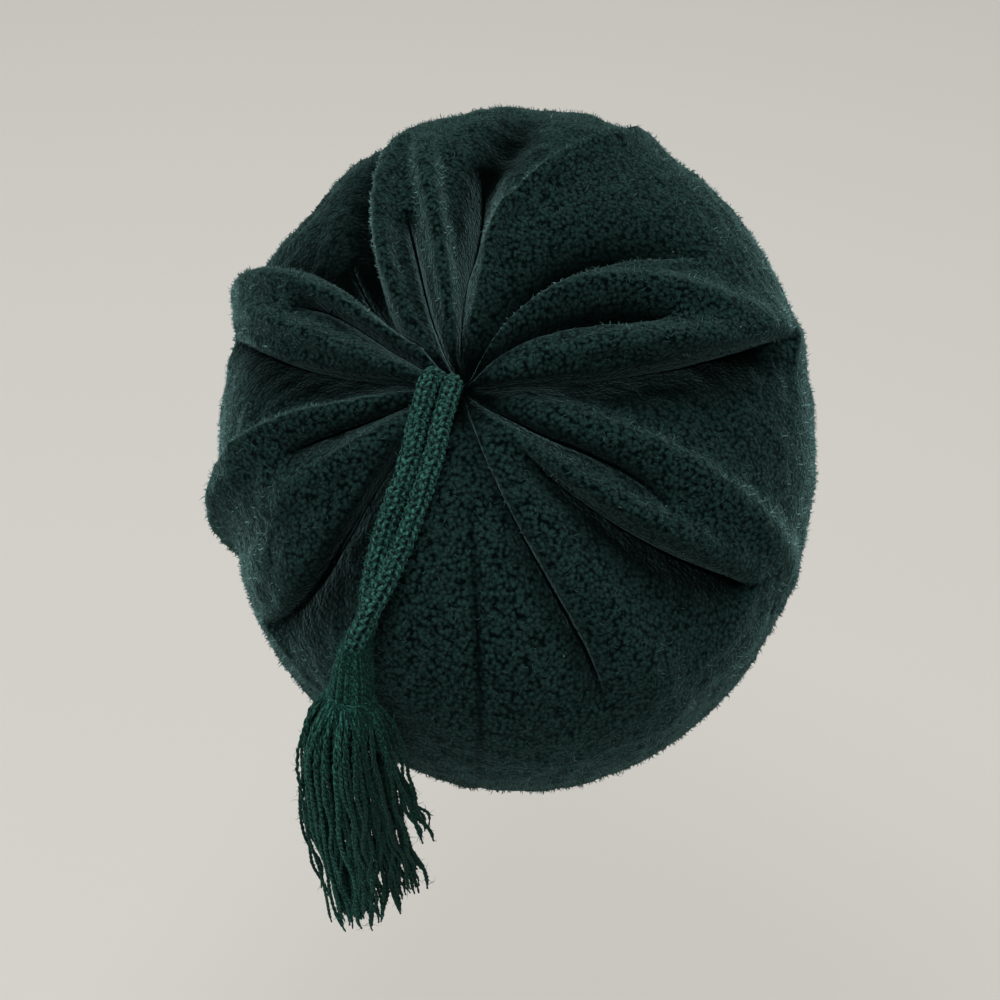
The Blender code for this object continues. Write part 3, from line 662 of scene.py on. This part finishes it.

# Locks of the skirt. Across is a share of half SKIRT_WIDTH, towards the wearer's left where it is positive,
# at the shoulder, the middle and the tip. Away is 0 beside the crown and 1 farthest out of it. Length is a
# share of SKIRT_LENGTH, and spread is the lock's own radius as a share of half SKIRT_WIDTH, at the middle
# and at the tip. Tone scales how pale the yarn is: painted shade, lower on the locks that hang back against
# the crown and on the wearer's right.
LOCKS = [
    # name, shoulder, middle, tip, away, length, spread, tip spread, strands, tone
    ("lone_left", 0.62, 0.96, 0.60, 0.70, 1.00, 0.02, 0.04, 2, 0.8),
    ("left_sweep", 0.58, 0.84, 0.00, 0.72, 1.03, 0.06, 0.08, 5, 0.9),
    ("far_left", 0.54, 0.80, 0.22, 0.50, 0.97, 0.14, 0.14, 11, 0.9),
    ("left_front", 0.36, 0.38, 0.02, 0.92, 1.00, 0.22, 0.20, 16, 1.0),
    ("left_back", 0.44, 0.48, 0.20, 0.14, 0.96, 0.20, 0.24, 10, 0.7),
    ("middle_front", 0.04, 0.06, -0.06, 0.98, 1.02, 0.26, 0.22, 18, 1.0),
    ("middle", 0.00, -0.02, -0.02, 0.52, 1.00, 0.26, 0.22, 12, 0.8),
    ("middle_back", -0.08, -0.10, -0.20, 0.10, 0.92, 0.22, 0.20, 10, 0.6),
    ("right_front", -0.36, -0.42, -0.44, 0.84, 0.97, 0.20, 0.22, 15, 0.9),
    ("right", -0.54, -0.66, -0.74, 0.50, 0.93, 0.20, 0.20, 14, 0.6),
    ("right_back", -0.56, -0.66, -0.90, 0.14, 0.86, 0.18, 0.18, 10, 0.55),
    ("far_right", -0.70, -0.88, -1.20, 0.56, 0.76, 0.16, 0.16, 12, 0.6),
    ("right_tip", -0.74, -1.02, -1.45, 0.34, 0.48, 0.10, 0.14, 8, 0.6),
]
HEAD_COVERED = 0.80  # share of the head's height that the strands run down before they flare
STRANDS_ABOVE = 0.32  # share of the head's height by which they reach up round the cords' ends
HEAD_SIDE = [0.50, 0.66, 0.86, 1.00, 1.03]  # half width of the head, share of half HEAD_WIDTH, top to foot
HEAD_DEEP = [0.90, 0.98, 1.00, 1.02, 1.03]  # the same from front to back, where the two cords lie
CRIMP = 0.00020
WAVE = 0.0010


def plied_strands(name, routes, tones, radius, look, seed):
    """Many plied strands as one mesh: tubes whose section turns along them.

    The section is radius * (1 + PLY_RELIEF * cos(PLIES * angle)).
    """
    count, rows = routes.shape[:2]
    draw = np.random.default_rng(seed)
    lengths = np.linalg.norm(np.diff(routes, axis=1), axis=2).sum(axis=1)
    angle = np.linspace(0, 2 * math.pi, STRAND_SIDES, endpoint=False)
    along = np.linspace(0, 1, rows)[None, :] * lengths[:, None]
    turned = 2 * math.pi * along / PLY_TURN + draw.uniform(0, 2 * math.pi, (count, 1))
    crest = np.cos(PLIES * (angle[None, None, :] - turned[..., None]))
    taper = np.clip((1 - np.linspace(0, 1, rows)) * lengths[:, None] / STRAND_TAPER, 0.5, 1)
    thick = radius * draw.uniform(0.85, 1.15, (count, 1)) * taper
    ring_radius = thick[..., None] * (1 + PLY_RELIEF * crest)
    rings = tube_rings(routes, ring_radius, np.broadcast_to(angle, ring_radius.shape), ROUTE_SIDE)
    points = rings.reshape(-1, 3)
    each = rows * STRAND_SIDES
    quads = ring_quads(rows, STRAND_SIDES)[:, ::-1]
    caps = np.array([[0, i, i + 1] for i in range(1, STRAND_SIDES - 1)])[:, ::-1]
    ends = np.concatenate([caps, (rows - 1) * STRAND_SIDES + caps[:, ::-1]])
    shift = (np.arange(count) * each)[:, None, None]
    quads = (quads[None] + shift).reshape(-1, 4)
    ends = (ends[None] + shift).reshape(-1, 3)
    # The colour value: painted highlight on each ply's crest and painted shade between plies, times a random
    # tone and the lock's painted shade
    tone = draw.uniform(0.5, 1.0, (count, 1, 1)) * tones[:, None, None]
    value = (0.5 + 0.5 * crest) * tone
    return make_piece(name, points, quads, ends, {"crest": value}, look)


def head_ring(share, turn, layer):
    """Places across the head at a share of its height: an ellipse, scaled by layer.

    At the top it is deeper than wide, because the two cords end there one behind the other.
    """
    stations = [-STRANDS_ABOVE, -0.05, 0.3, HEAD_COVERED, 1]
    wide = np.interp(share, stations, HEAD_SIDE) * HEAD_WIDTH / 2 - STRAND
    deep = np.interp(share, stations, HEAD_DEEP) * HEAD_WIDTH / 2 - STRAND
    return wide * layer * np.cos(turn), deep * layer * np.sin(turn)


def tassel_routes(rows, seed):
    """The middle lines of the tassel's strands, and their tones, which are painted shade.

    Each strand starts round the cords' ends and runs down the head on its own meridian. At the head's foot it
    flares out to its place in its lock, a disc round the line through the lock's shoulder, middle and tip.
    """
    draw = np.random.default_rng(seed)
    away = unit(np.array([HEAD_OUT[0], HEAD_OUT[1], 0.0]))
    along = np.array([away[1], -away[0], 0.0])
    foot = HEAD_TOP - HEAD_UP * HEAD_HEIGHT * HEAD_COVERED
    near = LOCK_THICKNESS / 2 - HEAD_WAIST * HEAD_WIDTH / 2
    far = near + SKIRT_DEPTH - LOCK_THICKNESS
    above = rows // 6
    on_head = np.linspace(-STRANDS_ABOVE, HEAD_COVERED, above, endpoint=False)[None, :]
    share = np.linspace(0, 1, rows - above)
    flare = np.interp(share, [0, 0.03, 0.07, 0.14, 0.22], [0, 0.42, 0.68, 0.90, 1])[None, :, None]
    routes, tones = [], []
    for _, shoulder, middle, tip, out, length, spread, tip_spread, strands, tone in LOCKS:
        disc = np.sqrt(draw.uniform(0, 1, strands))[:, None]
        turn = draw.uniform(0, 2 * math.pi, (strands, 1))
        own_length = length * (1 - draw.uniform(0, 0.10, (strands, 1)))
        middle_line = np.interp(share, [0, 0.16, 0.55, 0.8, 1],
                                [shoulder, shoulder, middle, (middle + tip) / 2, tip])[None, :]
        width = np.interp(share, [0, 0.25, 0.6, 1], [0.32, 0.25, spread, tip_spread])[None, :]
        stray = draw.normal(0, 0.10, (strands, 2)) * disc
        across = (middle_line + width * disc * np.cos(turn) + stray[:, :1] * share ** 3) * SKIRT_WIDTH / 2
        own_depth = (width * disc * np.sin(turn) + stray[:, 1:] * share ** 3) * SKIRT_WIDTH / 2
        outwards = near + (far - near) * out + own_depth
        for target in (across, outwards):
            phase = draw.uniform(0, 2 * math.pi, (strands, 2))
            waves = draw.uniform(1.5, 4.0, (strands, 1))
            turns = draw.uniform(16, 26, (strands, 1))
            fading = np.interp(share, [0, 0.1, 0.45, 1], [0.3, 1.0, 0.35, 0.15])[None, :]
            target += (WAVE * share * np.sin(2 * math.pi * waves * share + phase[:, :1])
                       + CRIMP * fading * np.sin(2 * math.pi * turns * share + phase[:, 1:]))
        meridian = np.arctan2(outwards[:, :1] - (near + far) / 2, across[:, :1])
        meridian = meridian + draw.normal(0, 0.35, (strands, 1))
        layer = np.sqrt(draw.uniform(0.5, 1, (strands, 1)))
        top_side, top_deep = head_ring(on_head, meridian, layer)
        foot_side, foot_deep = head_ring(HEAD_COVERED, meridian, layer)
        upper = (HEAD_TOP + along * top_side[..., None] + HEAD_OUT * top_deep[..., None]
                 - HEAD_UP * (on_head * HEAD_HEIGHT)[..., None])
        start = along * foot_side[..., None] + HEAD_OUT * foot_deep[..., None]
        hang = along * across[..., None] + away * outwards[..., None]
        down = share[None, :] * own_length * (SKIRT_LENGTH + (1 - HEAD_COVERED) * HEAD_HEIGHT)
        fall = np.array([0, 0, 1.0]) * down[..., None]
        lower = foot + start * (1 - flare) + hang * flare - fall
        routes.append(np.concatenate([upper, lower], axis=1))
        tones.append(np.full(strands, tone))
    return np.concatenate(routes), np.concatenate(tones)


def tie_route(rows):
    """The yarn tied round the head's foot: two and a half flat turns, sunk into the strands."""
    turn = np.linspace(0, 5 * math.pi, rows)
    share = HEAD_COVERED - 0.05 + 0.022 * turn / math.pi
    side, deep = head_ring(share, turn, 1.04)
    along = np.array([HEAD_OUT[1], -HEAD_OUT[0], 0.0])
    return (HEAD_TOP + unit(along) * side[:, None] + HEAD_OUT * deep[:, None]
            - HEAD_UP * (share * HEAD_HEIGHT)[:, None])


# Pile

PILE_CLUMP = 0.0019
LINT_SHARE = 0.0015
FIBRE = 0.00008  # radius of a loose fibre
PILE_PIECES = 3
PILE_EACH = 14500
PILE_LENGTH = 0.0017
PILE_THICK = 0.00017
# Painted highlight: tufts on the crest of a fold are made lighter
RIDGE_PAINTED_HIGHLIGHT = 0.40  # how much paler a tuft is on the crest of a fold
# From this depth a tuft is painted as shade: it takes the pile's copy without sheen
PAINTED_SHADE_DEPTH = 0.45  # depth from which a tuft lies in the shade of its fold
SMOOTH_ROUND_EYE = 0.045  # distance from the eye within which the pile is shorter

# A hook has three points at its base, three at its bend and one at its tip
HOOK_FACES = [
    [0, 2, 1], [0, 1, 3], [1, 4, 3], [1, 2, 4], [2, 5, 4], [2, 0, 5], [0, 3, 5], [3, 4, 6], [4, 5, 6],
    [5, 3, 6],
]
# Tone of a hook's points, base to tip: darker at the root, painted shade down in the pile
HOOK_ROOT_SHADE = [0.5, 0.5, 0.5, 0.85, 0.85, 0.85, 1.0]
HOOK_SUNK = 0.0003  # how deep its base lies in the cloth
HOOK_PART = 0.55  # length of each of its two parts, as a share of the length it is given
HOOK_LEAN = 1.2
BEND_WIDTH = 0.8  # its width at the bend, as a share of that at the base
LEAN_SHADING = 0.27  # how far its lean turns the direction in which it is shaded
CURL_SHADING = 0.18  # and how far its curl does


def scattered(rings, normals, values, count, draw):
    """Places spread evenly over a closed grid of rings: points, normals and other values read there.

    Each quad is drawn as often as its area asks, and the place in it is two even random shares.
    """
    rows, columns = rings.shape[:2]
    beside = np.roll(rings, -1, axis=1)
    area = np.linalg.norm(np.cross(rings[1:] - rings[:-1], beside[:-1] - rings[:-1]), axis=-1).ravel()
    chosen = np.searchsorted(np.cumsum(area) / area.sum(), draw.uniform(0, 1, count))
    row, column = chosen // columns, chosen % columns
    next_column = (column + 1) % columns
    down, round_it = draw.uniform(0, 1, (2, count, 1))

    def read(grid):
        """A grid's value at each place, between the four corners of its quad."""
        grid = grid if grid.ndim == 3 else grid[..., None]
        top = grid[row, column] * (1 - round_it) + grid[row, next_column] * round_it
        foot = grid[row + 1, column] * (1 - round_it) + grid[row + 1, next_column] * round_it
        return top * (1 - down) + foot * down

    return read(rings), unit(read(normals)), [read(value)[:, 0] for value in values]


def make_pile(name, places, normals, depth, painted_highlight, size, length, thick, seed, look):
    """Tufts of pile or loose fibres: three-sided tapered hooks with one bend, closed at the base.

    Depth, 0 to 1, says how deep in a fold a tuft stands; it shortens the tuft and darkens it as painted
    shade.
    The painted highlight on a fold's crest is added to its tone, and size scales its length.
    """
    draw = np.random.default_rng(seed)
    count = len(places)
    side = unit(np.cross(normals, unit(draw.normal(size=(count, 3)))))
    other = np.cross(normals, side)
    tilt = side * draw.uniform(0.2, 1.0, (count, 1)) * HOOK_LEAN
    curl = side * draw.normal(0.5, 0.5, (count, 1)) + other * draw.normal(0, 0.6, (count, 1))
    clump = np.clip(soft_noise(places, PILE_CLUMP, 53), -1, 1)[:, None]
    tall = length * size[:, None] * draw.uniform(0.6, 1.25, (count, 1))
    tall = tall * (1 - 0.5 * depth[:, None]) * (1 + 0.35 * clump)
    base = places - normals * HOOK_SUNK
    bend = base + unit(normals + tilt) * tall * HOOK_PART
    tip = bend + unit(normals * 0.5 + tilt + curl) * tall * HOOK_PART
    spin = draw.uniform(0, 2 * math.pi, (count, 1)) + np.arange(3) * 2 * math.pi / 3
    circle = np.cos(spin)[..., None] * side[:, None] + np.sin(spin)[..., None] * other[:, None]
    wide = thick * draw.uniform(0.7, 1.3, (count, 1, 1))
    low_ring = base[:, None] + circle * wide
    high_ring = bend[:, None] + circle * wide * BEND_WIDTH
    points = np.concatenate([low_ring, high_ring, tip[:, None]], 1)
    each = points.shape[1]
    triangles = (np.array(HOOK_FACES)[None] + (np.arange(count) * each)[:, None, None]).reshape(-1, 3)
    # Tone: random, lighter with the clump, plus the painted highlight on a fold's crest
    tone = 0.80 * draw.beta(1.0, 1.6, (count, 1)) + 0.10 + 0.40 * clump + painted_highlight[:, None]
    tone = np.clip(tone, 0, 1) * np.array([HOOK_ROOT_SHADE])
    lint = draw.uniform(0, 1, (count, 1)) < LINT_SHARE
    values = {"tone": tone, "depth": np.repeat(depth, each), "lint": np.repeat(lint, each)}
    made = make_piece(name, points.reshape(-1, 3), NO_QUADS, triangles, values, look)
    shading = unit(normals + LEAN_SHADING * tilt + CURL_SHADING * curl)
    made.data.normals_split_custom_set_from_vertices(np.repeat(shading, each, axis=0))
    return made


def loose_fibres(name, paths, radius, count, length, seed, look):
    """Fine fibres that stand off strands: tufts at random places round the given middle lines."""
    draw = np.random.default_rng(seed)
    strand = draw.integers(0, len(paths), count)
    row = draw.integers(0, paths.shape[1] - 1, count)
    here = paths[strand, row]
    ahead = unit(paths[strand, row + 1] - here)
    out = unit(np.cross(ahead, unit(draw.normal(size=(count, 3)))))
    slope = unit(out + 0.8 * ahead * draw.normal(size=(count, 1)))
    none = np.zeros(count)
    return make_pile(name, here + out * radius, slope, none, none, np.ones(count), length, FIBRE, seed + 1,
                     look)


# Crown pieces


def seam_nearness(angle, share, width):
    """1 on the seam down the back, 0 past its ends, and beside it a bell of so many times SEAM_WIDTH."""
    low, high = SEAM_SHARES
    along = (share - low) / (high - low)
    turn = (angle - np.radians(through(*SEAM_ANGLES, along)) + math.pi) % (2 * math.pi) - math.pi
    distance = turn * plain_crown(angle, share)[1]
    shown = np.clip(4 * along, 0, 1) * np.clip(8 * (1 - along), 0, 1)
    return shown * np.exp(-((distance / (width * SEAM_WIDTH)) ** 2))


def crown_grid():
    """The rings of the cloth's outer face as worn, from the eye to the rim.

    With them come the outward directions, the depth in the folds and the height on the ridges, both 0 to 1,
    which set the painted shade and the painted highlight, and each point's angle and share.
    """
    first = EYE_RADIUS / (0.5 * CROWN_WIDTH)
    first_share = math.asin(first ** (DOME_FULLNESS / 2)) / (math.pi / 2)
    dome = first_share + (1 - first_share) * np.linspace(0, 1, DOME_ROWS) ** ROW_CROWDING
    share = np.concatenate([dome, np.linspace(1, 2, BAND_ROWS + 1)[1:]])
    angle = column_angles(share, FINER)
    share = np.broadcast_to(share[:, None], angle.shape)
    points, outward, out = folded_crown(angle, share)
    lumps = 0.00035 * soft_noise(points, 0.011, 11) + 0.00022 * soft_noise(points, 0.005, 12)
    lumps = lumps - SEAM_DEPTH * seam_nearness(angle, share, 1.8)
    points = points + outward * lumps[..., None]
    # Depth in a fold, 0 to 1: it darkens the colour as painted shade and shortens the pile
    depth = np.clip(-out / (FULL_DEPTH * FOLD_RISE), 0, 1)
    # Height on a ridge, 0 to 1: it lightens the tufts as a painted highlight
    ridge = np.clip(out / (FULL_RIDGE * FOLD_RISE), 0, 1)
    return worn(points), worn(outward), depth, ridge, angle, share


def make_cloth(rings, outward, depth, look):
    """The cloth as one closed wall: the outer face, a round edge at the rim, and the inner face back up."""
    rows, columns = rings.shape[:2]
    turn = np.linspace(0, math.pi, EDGE_ROWS + 2)[1:-1, None, None]
    down = unit(rings[-1] - rings[-3])
    middle = rings[-1] - outward[-1] * CLOTH / 2
    edge = middle[None] + (np.cos(turn) * outward[-1][None] + np.sin(turn) * down[None]) * CLOTH / 2
    picked = np.linspace(rows - 1, 0, LINING_ROWS).astype(int)
    lining = rings[picked] - outward[picked] * CLOTH
    shell = np.concatenate([rings, edge, lining])
    # Depth darkens the colour as painted shade: in the folds, half on the lining and fully at the two caps;
    # on the seam it is the seam's dark line
    depths = np.concatenate([depth, np.zeros(edge.shape[:2]), np.full(lining.shape[:2], 0.5)])
    points = np.vstack([shell.reshape(-1, 3), rings[0].mean(axis=0), lining[-1].mean(axis=0)])
    here = np.arange(columns)
    beside = (here + 1) % columns
    top, inner_top = len(points) - 2, len(points) - 1
    last = (len(shell) - 1) * columns
    caps = np.concatenate([np.stack([beside, np.full(columns, top), here], 1),
                           np.stack([last + here, np.full(columns, inner_top), last + beside], 1)])
    values = {"depth": np.append(depths.ravel(), [1, 1])}
    made = make_piece("fleece_cloth", points, ring_quads(len(shell), columns), caps, values, look)
    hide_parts("fleece_crown")
    return made


# Stage

FLOOR_REACH = 9.0
FLOOR_HEIGHT = -0.65
FLOOR_COLOUR = (0.550, 0.535, 0.505, 1)
SURROUND_COLOUR = (0.80, 0.79, 0.76, 1)
SURROUND_STRENGTH = 0.58
LIGHT_POWER = 230
LIGHT_SIZE = 3.4
LIGHT_DISTANCE = 4.5


def make_stage(right, up, back, middle):
    """A plain pale floor below the hat, a pale surround, and one large soft light.

    The light stands high above the hat, a little to the camera's side of it and to the picture's left.
    """
    mesh = bpy.data.meshes.new("floor")
    sides = ((-1, -1), (1, -1), (1, 1), (-1, 1))
    corners = [(x * FLOOR_REACH, y * FLOOR_REACH, FLOOR_HEIGHT) for x, y in sides]
    mesh.from_pydata(corners, [], [(0, 1, 2, 3)])
    look, _, shader = new_material("pale floor", 0.9)
    shader.inputs["Base Color"].default_value = FLOOR_COLOUR
    mesh.materials.append(look)
    floor = bpy.data.objects.new("floor", mesh)
    bpy.context.scene.collection.objects.link(floor)
    world = bpy.data.worlds.new("surround")
    world.use_nodes = True
    background = world.node_tree.nodes["Background"]
    background.inputs["Color"].default_value = SURROUND_COLOUR
    background.inputs["Strength"].default_value = SURROUND_STRENGTH
    bpy.context.scene.world = world
    light = bpy.data.lights.new("soft_light", "AREA")
    light.energy = LIGHT_POWER
    light.size = LIGHT_SIZE
    lamp = bpy.data.objects.new("soft_light", light)
    bpy.context.scene.collection.objects.link(lamp)
    towards = unit(up * 0.75 - right * 0.14 + back)
    lamp.location = middle + towards * LIGHT_DISTANCE
    lamp.rotation_euler = Vector(towards).to_track_quat("Z", "Y").to_euler()
    bpy.context.scene.view_settings.view_transform = "Standard"


# All pieces


def make_yarn():
    """The two cords and their roots, the tassel's strands and the yarn tied round them, and loose fibres."""
    cord_look = yarn_look("cord yarn", *CORD_COLOURS, 0.12, (0.4, 0.9, 0.82))
    tassel_look = yarn_look("tassel yarn", *TASSEL_COLOURS, 0.12, (0.35, 0.85, 0.75))
    fuzz_look = pile_look("yarn fuzz", *FUZZ_COLOURS, 0.06, (0.4, 0.9, 0.8))
    cords = []
    for name, route in cord_routes().items():
        made, path, length = make_knit(name, route, cord_look, 0.25)
        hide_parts(name.replace("knitted_", ""))
        cords.append((made, path, length))
        make_knit(name.replace("knitted_cord", "cord_root"), root_route(route), cord_look, 0.4)
    routes, tones = tassel_routes(STRAND_ROWS, 31)
    strands = plied_strands("tassel_strands", routes, tones, STRAND, tassel_look, 32)
    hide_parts("tassel")
    tie = plied_strands("tassel_tie", tie_route(160)[None], np.ones(1), STRAND * 0.6, tassel_look, 33)
    loose_fibres("tassel_fuzz", routes, STRAND, 4600, 0.0030, 61, fuzz_look)
    loose_fibres("head_fuzz", routes[:, :FUZZY_ROWS], STRAND, 2200, 0.0022, 65, fuzz_look)
    middles = np.stack([even_route(path, 200)[0] for _, path, _ in cords])
    near_crests = KNIT_CORE + 0.7 * KNIT_RELIEF
    loose_fibres("cord_fuzz", middles, near_crests, 1800, 0.0020, 63, fuzz_look)


def make_fleece(eye):
    """The cloth and its pile. Tufts deep in the folds are pieces of painted shade, dark and without sheen,
    and the seam carries none.
    """
    rings, outward, depth, ridge, angle, share = crown_grid()
    make_cloth(rings, outward, np.maximum(depth, seam_nearness(angle, share, 1.6)), fleece_look())
    normals = grid_normals(rings)
    sheen_pile_look = pile_look("fleece pile", *PILE_COLOURS, 0.30, FLEECE_TINT)
    painted_shade_pile_look = pile_look("fleece pile with painted shade", *PILE_COLOURS, 0.0, FLEECE_TINT)
    draw = np.random.default_rng(41)
    for i in range(PILE_PIECES):
        places, square, values = scattered(rings, normals, [depth, ridge, angle, share], PILE_EACH, draw)
        deep, high, turn, down = values
        seam = seam_nearness(turn, down, 1.0)
        off_seam = seam < 0.5
        size = 0.5 + 0.5 * np.clip(np.linalg.norm(places - eye, axis=1) / SMOOTH_ROUND_EYE, 0, 1)
        deep = np.maximum(deep, seam)
        # Tufts deep in a fold take the pile's copy without sheen: painted shade
        lit = deep < PAINTED_SHADE_DEPTH
        for look, kind, chosen in ((sheen_pile_look, "pile", off_seam & lit), (painted_shade_pile_look, "deep", off_seam & ~lit)):
            make_pile(f"fleece_{kind}_{i + 1}", places[chosen], square[chosen], deep[chosen],
                      RIDGE_PAINTED_HIGHLIGHT * high[chosen], size[chosen], PILE_LENGTH, PILE_THICK, 50 + 10 * i, look)


def main():
    """Makes the camera, every piece and the stage."""
    right, up, back, middle = make_camera()
    eye = worn(folded_crown(0.0, 0.01)[0])
    make_yarn()
    make_fleece(eye)
    make_stage(right, up, back, middle)


main()
